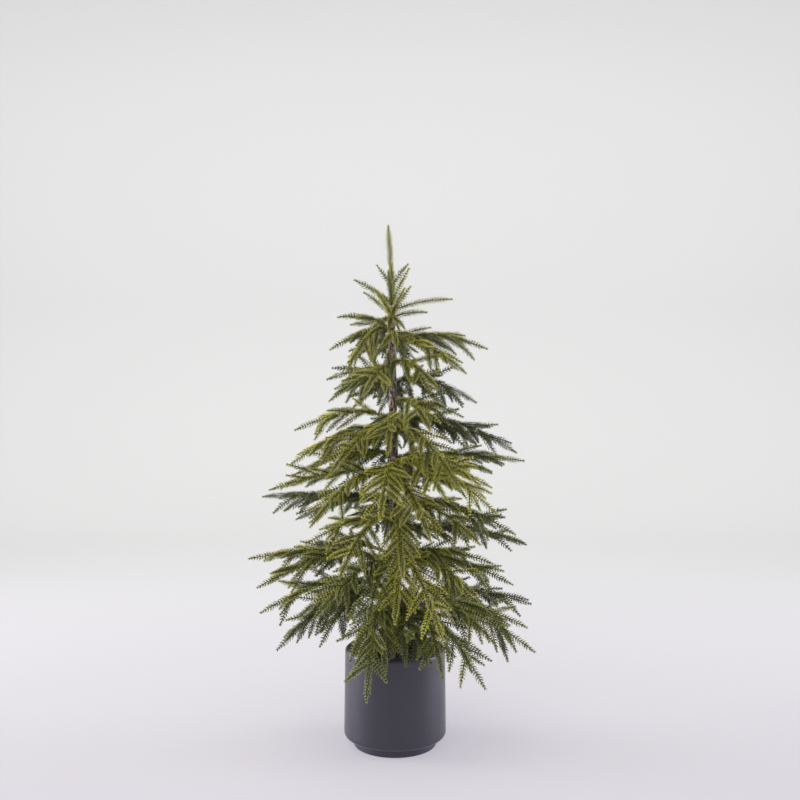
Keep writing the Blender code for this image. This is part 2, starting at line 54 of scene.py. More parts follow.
POT_HEIGHT = 0.225
POT_TOP_RADIUS = 0.1165
POT_FLARE = 0.002  # how much wider the wall is at its lower end
POT_WALL = 0.010
POT_FLOOR = 0.030
POT_SIDES = 160
LIP_WIDTH = 0.016
LIP_DEPTH = 0.024
LIP_SLOPE = 0.006
SHOULDER_ROUND = 0.009
LOWER_ROUND = 0.011
FOOT_RADIUS = 0.096
FOOT_HEIGHT = 0.020
FOOT_ROUND = 0.002
ROUND_STEPS = 7
EDGE_HOLD = 0.0012  # from an edge to the loop that keeps it crisp
SHORT_RUN = 0.25  # a run gets no loops where they would take more than this share of it

CHARCOAL_PAINT = "#22212c"
CHARCOAL_DUST = "#2d2c3a"
PAINT_GRAIN = 0.0016  # of the speckle in the paint
GRAIN_DEPTH = 0.0002
GRAIN_STRENGTH = 0.12
CASTING_WAVE = 0.050  # of the slow unevenness of the cast wall
RUBBED_ROUGHNESS = 0.30
PAINT_ROUGHNESS = 0.38
RIM_ROUGHNESS = 0.75
RIM_DULL = 0.002  # the paint is fully dull this far below the rim's top
PAINT_SHINE = 0.65


def linear(colour):
    """An sRGB hex colour as the linear colour that a shader takes."""
    shares = [int(colour[n:n + 2], 16) / 255 for n in (1, 3, 5)]
    return (*(c / 12.92 if c <= 0.04045 else ((c + 0.055) / 1.055) ** 2.4 for c in shares), 1)


def add(tree, kind, links=None, **settings):
    """Adds a node. Its links give each input a value or another node's output."""
    made = tree.nodes.new(kind)
    for name, value in settings.items():
        setattr(made, name, value)
    for key, value in (links or {}).items():
        if isinstance(value, bpy.types.NodeSocket):
            tree.links.new(value, made.inputs[key])
        else:
            made.inputs[key].default_value = value
    return made


def new_material(name, colour, roughness):
    """A material with a plain colour and roughness, with its tree and its shader."""
    made = bpy.data.materials.new(name)
    made.use_nodes = True
    shader = made.node_tree.nodes["Principled BSDF"]
    shader.inputs["Base Color"].default_value = linear(colour)
    shader.inputs["Roughness"].default_value = roughness
    return made, made.node_tree, shader


def new_piece(name, points, faces, finish):
    """A smooth piece from its points and its outward faces."""
    mesh = bpy.data.meshes.new(name)
    mesh.from_pydata(points, [], faces)
    mesh.materials.append(finish)
    mesh.shade_smooth()
    made = bpy.data.objects.new(name, mesh)
    bpy.context.scene.collection.objects.link(made)
    return made


def rounded(radius, height, size, first, last):
    """Profile points round an edge, from one angle to another in degrees."""
    points = []
    for step in range(ROUND_STEPS + 1):
        angle = math.radians(first + (last - first) * step / ROUND_STEPS)
        points.append((radius + size * math.cos(angle), height + size * math.sin(angle)))
    return points


def held(profile):
    """The profile with a loop close to each end of its long runs, which keeps edges crisp."""
    out = [profile[0]]
    for a, b in zip(profile, profile[1:]):
        share = EDGE_HOLD / math.hypot(b[0] - a[0], b[1] - a[1])
        if share < SHORT_RUN:
            for way in (share, 1 - share):
                out.append((a[0] + (b[0] - a[0]) * way, a[1] + (b[1] - a[1]) * way))
        out.append(b)
    return out


def turned(name, profile, finish):
    """A closed solid turned about Z from (radius, height) points, from the inside's middle
    over the rim and down to the underside's middle."""
    inner = profile[1:-1]
    points = [(0, 0, profile[0][1])]
    for radius, height in inner:
        for k in range(POT_SIDES):
            angle = 2 * math.pi * k / POT_SIDES
            points.append((radius * math.cos(angle), radius * math.sin(angle), height))
    points.append((0, 0, profile[-1][1]))
    faces = []
    for k in range(POT_SIDES):
        after = (k + 1) % POT_SIDES
        faces.append((0, 1 + k, 1 + after))
        for ring in range(len(inner) - 1):
            low = 1 + ring * POT_SIDES
            high = low + POT_SIDES
            faces.append((low + k, high + k, high + after, low + after))
        faces.append((high + k, len(points) - 1, high + after))
    return new_piece(name, points, faces, finish)


# Painted fibre-clay: dull, yet smooth enough to catch the soft light along its sides, and
# dullest on the rim's top. The clay's speckle and a slow wave from casting keep the wall
# from looking flat.
charcoal, tree, shader = new_material(
    "matt_charcoal_fibre_clay", CHARCOAL_PAINT, PAINT_ROUGHNESS,
)
place = add(tree, "ShaderNodeTexCoord").outputs["Object"]
speckle = add(tree, "ShaderNodeTexNoise", {
    "Vector": place, "Scale": 1 / PAINT_GRAIN, "Detail": 2.0,
})
wave = add(tree, "ShaderNodeTexNoise", {"Vector": place, "Scale": 1 / CASTING_WAVE, "Detail": 1.0})
dust = add(tree, "ShaderNodeMath", {
    0: speckle.outputs["Fac"], 1: wave.outputs["Fac"],
}, operation="MULTIPLY")
tint = add(tree, "ShaderNodeMix", {
    0: dust.outputs[0], 6: linear(CHARCOAL_PAINT), 7: linear(CHARCOAL_DUST),
}, data_type="RGBA")
rubbed_and_highlit = add(tree, "ShaderNodeMapRange", {
    "Value": wave.outputs["Fac"], "To Min": RUBBED_ROUGHNESS, "To Max": PAINT_ROUGHNESS,
})
height = add(tree, "ShaderNodeSeparateXYZ", {0: place})
dull = add(tree, "ShaderNodeMapRange", {
    "Value": height.outputs["Z"],
    "From Min": POT_HEIGHT - SHOULDER_ROUND, "From Max": POT_HEIGHT - RIM_DULL,
    "To Min": rubbed_and_highlit.outputs[0], "To Max": RIM_ROUGHNESS,
})
bump = add(tree, "ShaderNodeBump", {
    "Height": speckle.outputs["Fac"], "Strength": GRAIN_STRENGTH, "Distance": GRAIN_DEPTH,
})
shader.inputs["Specular IOR Level"].default_value = PAINT_SHINE
tree.links.new(tint.outputs[2], shader.inputs["Base Color"])
tree.links.new(dull.outputs[0], shader.inputs["Roughness"])
tree.links.new(bump.outputs[0], shader.inputs["Normal"])

low_radius = POT_TOP_RADIUS + POT_FLARE
mouth = POT_TOP_RADIUS - LIP_WIDTH
well = low_radius - POT_WALL
lip_round = LIP_WIDTH - SHOULDER_ROUND
top = POT_HEIGHT
profile = [(0, POT_FLOOR), (well, POT_FLOOR)]
profile += [(well, top - LIP_DEPTH - LIP_SLOPE), (mouth, top - LIP_DEPTH)]
profile += rounded(mouth + lip_round, top - lip_round, lip_round, 180, 90)
profile += rounded(POT_TOP_RADIUS - SHOULDER_ROUND, top - SHOULDER_ROUND, SHOULDER_ROUND, 90, 0)[1:]
profile += rounded(low_radius - LOWER_ROUND, FOOT_HEIGHT + LOWER_ROUND, LOWER_ROUND, 0, -90)
profile += [(FOOT_RADIUS, FOOT_HEIGHT)]
profile += rounded(FOOT_RADIUS - FOOT_ROUND, FOOT_ROUND, FOOT_ROUND, 0, -90) + [(0, 0)]
planter = turned("planter", held(profile), charcoal)
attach(planter, "root")
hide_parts("pot")


# ======================================================================================
# Filling
# The block that holds the trunk: a light dark filler cast in the pot, with a slightly
# crowned, pitted top that lies well below the rim.
# ======================================================================================

FILL_DEPTH = 0.034  # its edge lies this far below the rim
FILL_CROWN = 0.006
FILL_FLAT = 0.030  # radius of its flat middle
FILL_RINGS = 26
FILL_ROUGH = 0.0022  # how far its top stands up and down
FILL_LUMP = 0.012
CLEAR = 0.0003

CAST_FILLER = "#1b1a1c"
CAST_DUST = "#2c2a2a"
FILLER_GRIT = 0.0025
GRIT_DEPTH = 0.0012
GRIT_STRENGTH = 0.6
FILLER_ROUGHNESS = 0.95

# Cast filler: dull and dark, with small pits that hold grey dust and break up its top.
filler, tree, shader = new_material("pitted_dark_filler", CAST_FILLER, FILLER_ROUGHNESS)
place = add(tree, "ShaderNodeTexCoord").outputs["Object"]
grit = add(tree, "ShaderNodeTexVoronoi", {"Vector": place, "Scale": 1 / FILLER_GRIT})
tint = add(tree, "ShaderNodeMix", {
    0: grit.outputs["Distance"], 6: linear(CAST_DUST), 7: linear(CAST_FILLER),
}, data_type="RGBA")
bump = add(tree, "ShaderNodeBump", {
    "Height": grit.outputs["Distance"], "Strength": GRIT_STRENGTH, "Distance": GRIT_DEPTH,
})
tree.links.new(tint.outputs[2], shader.inputs["Base Color"])
tree.links.new(bump.outputs[0], shader.inputs["Normal"])

edge = POT_HEIGHT - FILL_DEPTH
fill_radius = well - CLEAR
profile = [(0, edge + FILL_CROWN)]
for ring in range(1, FILL_RINGS + 1):
    radius = fill_radius * ring / FILL_RINGS
    fall = max(0.0, (radius - FILL_FLAT) / (fill_radius - FILL_FLAT))
    profile.append((radius, edge + FILL_CROWN * (1 - fall)))
profile += [(fill_radius, POT_FLOOR + CLEAR), (0, POT_FLOOR + CLEAR)]
filling = turned("cast_filling", profile, filler)
for vertex in filling.data.vertices:
    if vertex.co.z > edge - CLEAR and vertex.co.to_2d().length < fill_radius - CLEAR:
        vertex.co.z += FILL_ROUGH * noise.noise(vertex.co / FILL_LUMP) - FILL_ROUGH / 2
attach(filling, "root")
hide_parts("filling")


# ======================================================================================
# Trunk
# A steel rod wound with brown crepe paper that stands for bark: a long straight taper,
# with the wound paper's edges climbing round it and the paper crinkled along its length.
# ======================================================================================

UP = Vector((0, 0, 1))
TRUNK_TOP = 0.985
TRUNK_BASE_RADIUS = 0.0120
TRUNK_TOP_RADIUS = 0.0080
TRUNK_FLARE = 0.004
TRUNK_FLARE_HEIGHT = 0.030
TRUNK_BASE_X = 0.0045
TRUNK_TOP_X = -0.0080
TRUNK_AROUND = 44
TRUNK_RING_PITCH = 0.0016
PAPER_WIDTH = 0.016  # of the wound strip
PAPER_EDGE = 0.0005  # how far its edge stands up
CRINKLE_ACROSS = 0.0046
CRINKLE_ALONG = 0.0170
CRINKLE_DEPTH = 0.0013
CREASE = 0.0012  # of the fine creases
CREASE_DEPTH = 0.0004
RELIEF_HEIGHT = 0.00104  # how far the whole relief stands up

BARK_BROWN = "#3a271f"
# painted shade in the paper's creases
BARK_CREASE_SHADE = "#1a110d"
BARK_RIDGE_HIGHLIGHT = "#c9b3a4"  # painted pale highlight along the crinkles' ridges
BARK_PATCH = 0.035
BARK_ROUGHNESS = 0.60
HIGHLIGHT_START, HIGHLIGHT_FULL = 0.34, 0.68  # the relief where the ridges' painted highlight starts, and where it is full
# the relief below which the creases' painted shade is full, and above which it is gone
CREASE_FULL, CREASE_END = -0.25, 0.25
FIBRE_DEPTH = 0.0003
FIBRE_STRENGTH = 0.35


def mix(low, high, share):
    """The value that lies this share of the way from low to high."""
    return low + (high - low) * share


def trunk_foot():
    """Height of the trunk's flat cut, just above the filling."""
    return POT_HEIGHT - FILL_DEPTH + FILL_CROWN + CLEAR


def trunk_share(height):
    """How far up the trunk this height is, from 0 at its foot to 1 at its top."""
    return (height - trunk_foot()) / (TRUNK_TOP - trunk_foot())


def trunk_centre(height):
    """The trunk's middle at this height: a slow lean that grows towards the top."""
    return Vector((mix(TRUNK_BASE_X, TRUNK_TOP_X, trunk_share(height)), 0, height))


def trunk_radius(height):
    """The trunk's radius at this height: an even taper that flares at the foot."""
    flare = TRUNK_FLARE * max(0.0, 1 - (height - trunk_foot()) / TRUNK_FLARE_HEIGHT) ** 2
    return mix(TRUNK_BASE_RADIUS, TRUNK_TOP_RADIUS, trunk_share(height)) + flare


def paper_relief(point, along, angle):
    """How far the wound paper stands up there, as a share of its whole relief."""
    strip = (along / PAPER_WIDTH + angle / (2 * math.pi)) % 1.0
    crinkled = Vector((
        point.x / CRINKLE_ACROSS, point.y / CRINKLE_ACROSS, point.z / CRINKLE_ALONG,
    ))
    ridges = 1 - 2 * abs(noise.noise(crinkled))
    creases = noise.noise(point / CREASE)
    height = PAPER_EDGE * strip ** 3 + CRINKLE_DEPTH * ridges + CREASE_DEPTH * creases
    return height / (PAPER_EDGE + CRINKLE_DEPTH + CREASE_DEPTH)


def wrapped_limb(centres, radii, around):
    """Points, faces and relief of a closed limb wound with crinkled paper."""
    points = [centres[0]]
    relief = [0.0]
    travelled = 0.0
    for n, (centre, radius) in enumerate(zip(centres, radii)):
        way = (centres[min(n + 1, len(centres) - 1)] - centres[max(n - 1, 0)]).normalized()
        side = way.orthogonal() if n == 0 else side - way * side.dot(way)
        side.normalize()
        travelled += (centre - centres[max(n - 1, 0)]).length
        for k in range(around):
            angle = 2 * math.pi * k / around
            out = Matrix.Rotation(angle, 3, way) @ side
            height = paper_relief(centre + out * radius, travelled, angle)
            points.append(centre + out * (radius + height * RELIEF_HEIGHT))
            relief.append(height)
    points.append(centres[-1])
    relief.append(0.0)
    faces = []
    for k in range(around):
        after = (k + 1) % around
        faces.append((0, 1 + after, 1 + k))
        for ring in range(len(centres) - 1):
            low = 1 + ring * around
            faces.append((low + k, low + after, low + around + after, low + around + k))
        faces.append((low + around + k, low + around + after, len(points) - 1))
    return points, faces, relief


def wrapped_piece(name, limbs, finish):
    """One piece of one or more wrapped limbs. Its relief is kept for its material."""
    points, faces, relief = [], [], []
    for centres, radii, around in limbs:
        more_points, more_faces, more_relief = wrapped_limb(centres, radii, around)
        faces += [tuple(n + len(points) for n in face) for face in more_faces]
        points += more_points
        relief += more_relief
    made = new_piece(name, points, faces, finish)
    kept = made.data.attributes.new("relief", "FLOAT", "POINT")
    kept.data.foreach_set("value", relief)
    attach(made, "root")
    return made


# Crepe paper over wire: matt and fibrous, with painted shade in its creases and a painted pale
# pinkish brown highlight along its ridges, stronger in some slow patches than in others.
bark, tree, shader = new_material("crinkled_bark_paper", BARK_BROWN, BARK_ROUGHNESS)
place = add(tree, "ShaderNodeTexCoord").outputs["Object"]
ridge = add(tree, "ShaderNodeAttribute", attribute_name="relief")
patch = add(tree, "ShaderNodeTexNoise", {"Vector": place, "Scale": 1 / BARK_PATCH, "Detail": 3.0})
# Painted highlight: pale along the ridges, in slow patches.
ridge_highlight = add(tree, "ShaderNodeMapRange", {
    "Value": ridge.outputs["Fac"], "From Min": HIGHLIGHT_START, "From Max": HIGHLIGHT_FULL,
})
rubbed_and_highlit = add(tree, "ShaderNodeMath", {
    0: ridge_highlight.outputs[0], 1: patch.outputs["Fac"],
}, operation="MULTIPLY")
# Painted shade: the paper darkens into its creases.
sunk = add(tree, "ShaderNodeMapRange", {
    "Value": ridge.outputs["Fac"], "From Min": CREASE_FULL, "From Max": CREASE_END,
})
shade = add(tree, "ShaderNodeMix", {
    0: sunk.outputs[0], 6: linear(BARK_CREASE_SHADE), 7: linear(BARK_BROWN),
}, data_type="RGBA")
tint = add(tree, "ShaderNodeMix", {
    0: rubbed_and_highlit.outputs[0], 6: shade.outputs[2], 7: linear(BARK_RIDGE_HIGHLIGHT),
}, data_type="RGBA")
fibre = add(tree, "ShaderNodeTexNoise", {"Vector": place, "Scale": 1 / CREASE, "Detail": 3.0})
bump = add(tree, "ShaderNodeBump", {
    "Height": fibre.outputs["Fac"], "Strength": FIBRE_STRENGTH, "Distance": FIBRE_DEPTH,
})
tree.links.new(tint.outputs[2], shader.inputs["Base Color"])
tree.links.new(bump.outputs[0], shader.inputs["Normal"])

rings = round((TRUNK_TOP - trunk_foot()) / TRUNK_RING_PITCH)
heights = [mix(trunk_foot(), TRUNK_TOP, n / rings) for n in range(rings + 1)]
centres = [trunk_centre(height) for height in heights]
radii = [trunk_radius(height) for height in heights]
trunk = wrapped_piece("wrapped_trunk", [(centres, radii, TRUNK_AROUND)], bark)
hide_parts("trunk")


# ======================================================================================
# Boughs
# The lower limbs leave the trunk as short wired branches, wound with the same paper, and
# carry their sprays from their tips. The upper sprays are wired straight to the trunk.
# ======================================================================================

# The limbs, from the top down: name, height on the trunk, bearing, whether it has a bare
# bough, and its sprays. A spray is its bearing, its reach from the trunk, its rise in
# degrees, and how far its tip ends below the limb's root. Bearings run from +X (right)
# over +Y (back).
LIMBS = (
    ("top_left", 0.966, 198, False,
        ((196, 0.124, 42, -0.025), (184, 0.140, 14, 0.047), (222, 0.132, 20, 0.097))),
    ("top_right", 0.934, -15, False, ((-5, 0.217, 30, 0.014), (-34, 0.195, 16, 0.072))),
    ("top_back", 0.940, 88, False,
        ((48, 0.135, 32, 0.000), (88, 0.160, 26, 0.045), (132, 0.160, 24, 0.045))),
    ("top_front", 0.950, 278, False, ((276, 0.105, 30, 0.030),)),
    ("upper_left", 0.856, 172, False,
        ((165, 0.158, 30, 0.006), (150, 0.160, 22, 0.045), (190, 0.145, 22, 0.056))),
    ("upper_front_left", 0.872, 245, False, ((245, 0.145, 25, 0.060),)),
    ("upper_front_right", 0.888, -48, False, ((-48, 0.150, 20, 0.062),)),
    ("upper_right", 0.842, 30, False, ((20, 0.210, 25, 0.046), (52, 0.190, 22, 0.055))),
    ("upper_back", 0.830, 105, False, ((92, 0.180, 22, 0.050), (125, 0.175, 22, 0.050))),
    ("upper_low_right", 0.795, -30, False, ((-20, 0.166, 20, 0.032), (-58, 0.155, 22, 0.060))),
    ("mid_left", 0.757, 176, False, ((176, 0.228, 28, 0.026),)),
    ("mid_front_left", 0.728, 210, False, ((200, 0.244, 24, 0.072), (228, 0.200, 24, 0.085))),
    ("mid_front", 0.760, 268, False, ((266, 0.160, 30, 0.075),)),
    ("mid_right", 0.744, 20, False, ((15, 0.304, 26, 0.069), (36, 0.250, 22, 0.050))),
    ("mid_front_right", 0.730, -50, False, ((-48, 0.215, 22, 0.120),)),
    ("mid_back", 0.742, 85, False, ((100, 0.230, 20, 0.050), (70, 0.225, 20, 0.055))),
    ("mid_back_left", 0.705, 130, False, ((130, 0.245, 18, 0.050),)),
    ("waist_right", 0.665, 12, False, ((3, 0.302, 12, 0.008), (28, 0.270, 14, 0.045))),
    ("waist_front_right", 0.655, -40, False,
        ((-30, 0.245, 20, 0.046), (-22, 0.245, 22, 0.106), (-56, 0.205, 22, 0.070))),
    ("waist_back_left", 0.672, 152, False, ((160, 0.257, 20, 0.054), (138, 0.240, 18, 0.055))),
    ("waist_left", 0.628, 200, False, ((186, 0.284, 18, 0.034), (222, 0.240, 24, 0.100))),
    ("waist_front", 0.645, 262, False, ((262, 0.205, 25, 0.095),)),
    ("waist_low_front", 0.600, 292, False, ((292, 0.205, 25, 0.095),)),
    ("waist_back", 0.620, 72, False, ((55, 0.280, 16, 0.050), (88, 0.260, 18, 0.060))),
    ("low_right", 0.552, -24, False, ((-15, 0.279, 28, 0.054), (-38, 0.235, 26, 0.065))),
    ("low_left", 0.562, 158, False, ((166, 0.325, 14, -0.004), (150, 0.280, 15, 0.058))),
    ("low_front_left", 0.525, 220, False, ((203, 0.212, 20, 0.046), (240, 0.230, 24, 0.100))),
    ("low_front", 0.520, 276, False, ((275, 0.205, 28, 0.092),)),
    ("low_back", 0.530, 98, False, ((112, 0.280, 16, 0.050), (84, 0.270, 18, 0.060))),
    ("low_back_right", 0.489, 32, False, ((22, 0.346, 16, 0.046), (46, 0.300, 18, 0.045))),
    ("skirt_right", 0.432, -20, False,
        ((-8, 0.268, 22, 0.054), (-16, 0.226, 32, 0.002), (-36, 0.230, 22, 0.072))),
    ("skirt_front_right", 0.425, -74, False, ((-66, 0.246, 36, 0.126), (-90, 0.205, 34, 0.095))),
    ("skirt_left", 0.425, 187, True, ((183, 0.336, 16, -0.008), (193, 0.316, 16, 0.047))),
    ("skirt_front_left", 0.430, 240, False, ((230, 0.262, 22, 0.090), (254, 0.205, 25, 0.100))),
    ("skirt_back_left", 0.440, 146, True, ((135, 0.310, 15, 0.050), (158, 0.292, 15, 0.035))),
    ("skirt_back", 0.410, 72, True, ((84, 0.290, 16, 0.050), (60, 0.310, 16, 0.050))),
    ("base_left", 0.360, 188, True, ((178, 0.314, 18, 0.058), (206, 0.235, 22, 0.040))),
    ("base_low_left", 0.330, 200, True, ((190, 0.273, 22, 0.098), (216, 0.205, 25, 0.070))),
    ("base_right", 0.312, -14, True,
        ((-4, 0.300, 20, 0.037), (-12, 0.317, 16, 0.080), (-34, 0.256, 20, 0.040))),
    ("base_back_right", 0.325, 30, True, ((18, 0.343, 15, 0.024), (46, 0.300, 18, 0.050))),
    ("base_front_right", 0.290, -50, True, ((-44, 0.262, 28, 0.104), (-64, 0.225, 28, 0.075))),
    ("base_front_left", 0.300, 246, True,
        ((256, 0.250, 35, 0.122), (241, 0.200, 30, 0.058), (264, 0.205, 30, 0.075))),
    ("base_front", 0.318, 284, False, ((289, 0.205, 30, 0.080), (276, 0.200, 30, 0.078))),
    ("base_back_left", 0.320, 138, True, ((150, 0.285, 18, 0.060), (125, 0.270, 20, 0.070))),
    ("base_back", 0.300, 86, True, ((98, 0.270, 20, 0.060), (72, 0.280, 18, 0.080))),
)

BOUGH_LENGTH = 0.055
BOUGH_ROOT_RADIUS = 0.0048
BOUGH_TIP_RADIUS = 0.0034
BOUGH_BEND = 0.4
BOUGH_SOFTNESS = 0.5
BOUGH_RISE = 0.8
BOUGH_STEPS = 40
BOUGH_AROUND = 22


def heading(bearing):
    """The level direction of a bearing in degrees."""
    angle = math.radians(bearing)
    return Vector((math.cos(angle), math.sin(angle), 0))


def arch(start, bend, end, count):
    """Points along the quadratic curve from start over bend to end."""
    points = []
    for step in range(count + 1):
        t = step / count
        points.append((1 - t) ** 2 * start + 2 * t * (1 - t) * bend + t * t * end)
    return points


def limb_start(height, bearing):
    """Where a limb meets the trunk, just clear of its bark."""
    return trunk_centre(height) + heading(bearing) * (trunk_radius(height) + CLEAR)


def bough_line(limb):
    """A bough's middle line: level out of the trunk, then rising as its sprays do."""
    _, height, bearing, _, sprays = limb
    rise = math.tan(math.radians(sum(spray[2] for spray in sprays) / len(sprays)))
    start = limb_start(height, bearing)
    out = heading(bearing) * BOUGH_LENGTH
    climb = UP * BOUGH_LENGTH * rise
    bend = start + out * BOUGH_BEND + climb * BOUGH_BEND * BOUGH_SOFTNESS
    return arch(start, bend, start + out + climb * BOUGH_RISE, BOUGH_STEPS)


boughed = [limb for limb in LIMBS if limb[3]]
taper = [
    mix(BOUGH_ROOT_RADIUS, BOUGH_TIP_RADIUS, n / BOUGH_STEPS) for n in range(BOUGH_STEPS + 1)
]
bough_limbs = [(bough_line(limb), taper, BOUGH_AROUND) for limb in boughed]
boughs = wrapped_piece("wrapped_boughs", bough_limbs, bark)
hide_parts(*(limb[0] + "_bough" for limb in boughed))


# ======================================================================================
# Sprays
# Each spray is a wire in a green plastic sheath that rises out of its limb and arches over.
# Fingers, its side twigs, leave it in pairs at even steps, and its own tip is the longest.
# Short twigs hang from each limb's root.
# ======================================================================================

SEED = 11
SPRAY_BEND = 0.35  # where a spray's arch bends, as a share of its reach
SPRAY_STEPS = 24
TIP_FINGER = 0.080  # from a spray's last pair to its tip
PAIR_PITCH = 0.026  # between one pair and the next
LOW_PITCH = 0.022  # on the low limbs, which are the fullest
LOW_LIMBS = 0.45  # they leave the trunk below this height
PITCH_RANGE = 0.15
PAIR_SHIFT = 0.008  # between the two of a pair
FIRST_PAIR = 0.016  # no pair nearer to the root
FINGER_LENGTH = 0.068
FINGER_RANGE = 0.20
OUTER_SHORTER = 0.82  # the last pair's length, as a share of a middle one's
FINGER_SPREAD = 44.0  # degrees off the spray's line
SPREAD_RANGE = 9.0
FINGER_ROLL = -16.0  # most fingers hang a little below the spray's own plane
ROLL_RANGE = 40.0
UPRIGHT_SHARE = 0.16  # of the fingers, which point upwards instead
UPRIGHT_ROLL = 50.0
UPRIGHT_RANGE = 20.0
FINGER_SAG = 0.11
ROOT_TWIG = 0.056  # length of the short twigs at a limb's root
ROOT_SPREAD = (28.8, 57.6)  # degrees to each side of the limb
ROOT_SLOPE = 46.0  # degrees down
FINGER_STEPS = 6
POT_ROOM = 0.008  # between a twig's line and the pot
TRUNK_ROOM = 0.006

WIRE_SIDES = 5
SPRAY_WIRE = 0.0022  # radius at a spray's root
FINGER_WIRE = 0.0015
WIRE_TIP = 0.0009
SHEATH_GREEN = "#3e4420"
SHEATH_ROUGHNESS = 0.60


def length_of(points):
    """The length of a line of points."""
    return sum((b - a).length for a, b in zip(points, points[1:]))


def point_along(points, distance):
    """The point and direction at this distance along a line of points."""
    for a, b in zip(points, points[1:]):
        span = (b - a).length
        if distance <= span or b is points[-1]:
            return a.lerp(b, distance / span), (b - a).normalized()
        distance -= span
    return None


def spray_line(limb, spray):
    """A spray's middle line, from its limb's stem over the arch to its tip."""
    _, height, limb_bearing, has_bough, _ = limb
    bearing, reach, rise, drop = spray
    start = bough_line(limb)[-1] if has_bough else limb_start(height, limb_bearing)
    end = trunk_centre(height) + heading(bearing) * reach - UP * drop
    flat = (end - start).to_2d().length
    way = (heading(limb_bearing) + heading(bearing)).normalized()
    bend = start + (way + UP * math.tan(math.radians(rise))) * SPRAY_BEND * flat
    return arch(start, bend, end, SPRAY_STEPS)


def finger_line(base, along, side, length, rng):
    """A finger's line: out from the spray at a slant, mostly hanging, and sagging."""
    spread = math.radians(FINGER_SPREAD + rng.uniform(-SPREAD_RANGE, SPREAD_RANGE))
    roll = math.radians(FINGER_ROLL + rng.uniform(-ROLL_RANGE, ROLL_RANGE))
    if rng.random() < UPRIGHT_SHARE:
        roll = math.radians(UPRIGHT_ROLL + rng.uniform(-UPRIGHT_RANGE, UPRIGHT_RANGE))
    across = along.cross(UP).normalized() * side
    over = across.cross(along) * side
    outwards = across * math.cos(roll) + over * math.sin(roll)
    way = along * math.cos(spread) + outwards * math.sin(spread)
    tip = base + way * length - UP * FINGER_SAG * length
    return arch(base, base + way * length / 2, tip, FINGER_STEPS)


def has_room(line):
    """True if a twig's line keeps out of the pot and, past its root, clear of the trunk."""
    for point in line:
        near_pot = point.to_2d().length < POT_TOP_RADIUS + POT_FLARE + POT_ROOM
        if near_pot and point.z < POT_HEIGHT + POT_ROOM:
            return False
        if point.z < TRUNK_TOP and (point - line[0]).length > TRUNK_ROOM:
            if (point - trunk_centre(point.z)).to_2d().length < trunk_radius(point.z) + TRUNK_ROOM:
                return False
    return True


def spray_fingers(limb, line, rng):
    """The fingers of a spray, in pairs from its tip inwards."""
    total = length_of(line)
    pitch = LOW_PITCH if limb[1] < LOW_LIMBS else PAIR_PITCH
    fingers = []
    at = total - TIP_FINGER
    while at > FIRST_PAIR:
        outer = at > total - TIP_FINGER - pitch / 2
        for side in (1, -1):
            base, along = point_along(line, at + side * PAIR_SHIFT / 2)
            length = FINGER_LENGTH * (1 + rng.uniform(-FINGER_RANGE, FINGER_RANGE))
            finger = finger_line(base, along, side, length * (OUTER_SHORTER if outer else 1), rng)
            if has_room(finger):
                fingers.append(finger)
        at -= pitch * rng.uniform(1 - PITCH_RANGE, 1 + PITCH_RANGE)
    return fingers


def root_twigs(limb):
    """The short twigs that hang from a limb's root and hide the trunk below it."""
    rng = random.Random(f"{SEED} {limb[0]} root")
    start = limb_start(limb[1], limb[2])
    twigs = []
    for side in (1, -1):
        way = heading(limb[2] + side * rng.uniform(*ROOT_SPREAD))
        length = ROOT_TWIG * (1 + rng.uniform(-FINGER_RANGE, FINGER_RANGE))
        slope = math.radians(ROOT_SLOPE + rng.uniform(-SPREAD_RANGE, SPREAD_RANGE))
        end = start + (way * math.cos(slope) - UP * math.sin(slope)) * length
        twigs.append(arch(start, start + way * length / 2, end, FINGER_STEPS))
    return [twig for twig in twigs if has_room(twig)]


def wire_tree():
    """Geometry nodes that turn lines into closed, tapered round wires."""
    made = bpy.data.node_groups.new("sheathed_wires", "GeometryNodeTree")
    made.interface.new_socket("Geometry", in_out="INPUT", socket_type="NodeSocketGeometry")
    made.interface.new_socket("Wire tip radius", in_out="INPUT", socket_type="NodeSocketFloat")
    made.interface.new_socket("Sheath", in_out="INPUT", socket_type="NodeSocketMaterial")
    made.interface.new_socket("Geometry", in_out="OUTPUT", socket_type="NodeSocketGeometry")
    given = add(made, "NodeGroupInput").outputs
    root = add(made, "GeometryNodeInputNamedAttribute", {"Name": "root_radius"}, data_type="FLOAT")
    curves = add(made, "GeometryNodeMeshToCurve", {"Mesh": given["Geometry"]})
    way = add(made, "GeometryNodeSplineParameter")
    thick = add(made, "ShaderNodeMix", {
        0: way.outputs["Factor"], 2: root.outputs["Attribute"], 3: given["Wire tip radius"],
    })
    ring = add(made, "GeometryNodeCurvePrimitiveCircle", {"Resolution": WIRE_SIDES, "Radius": 1.0})
    solid = add(made, "GeometryNodeCurveToMesh", {
        "Curve": curves.outputs[0], "Profile Curve": ring.outputs[0], "Scale": thick.outputs[0],
        "Fill Caps": True,
    })
    real = add(made, "GeometryNodeRealizeInstances", {"Geometry": solid.outputs[0]})
    done = add(made, "GeometryNodeSetMaterial", {
        "Geometry": real.outputs[0], "Material": given["Sheath"],
    })
    add(made, "NodeGroupOutput", {"Geometry": done.outputs[0]})
    return made


def line_mesh(name, lines, values, attribute):
    """An object of open lines, with one value for each line kept on its points."""
    points, edges, kept = [], [], []
    for line, value in zip(lines, values):
        edges += [(len(points) + n, len(points) + n + 1) for n in range(len(line) - 1)]
        points += line
        kept += [value] * len(line)
    mesh = bpy.data.meshes.new(name)
    mesh.from_pydata(points, edges, [])
    mesh.attributes.new(attribute, "FLOAT", "POINT").data.foreach_set("value", kept)
    made = bpy.data.objects.new(name, mesh)
    bpy.context.scene.collection.objects.link(made)
    return made


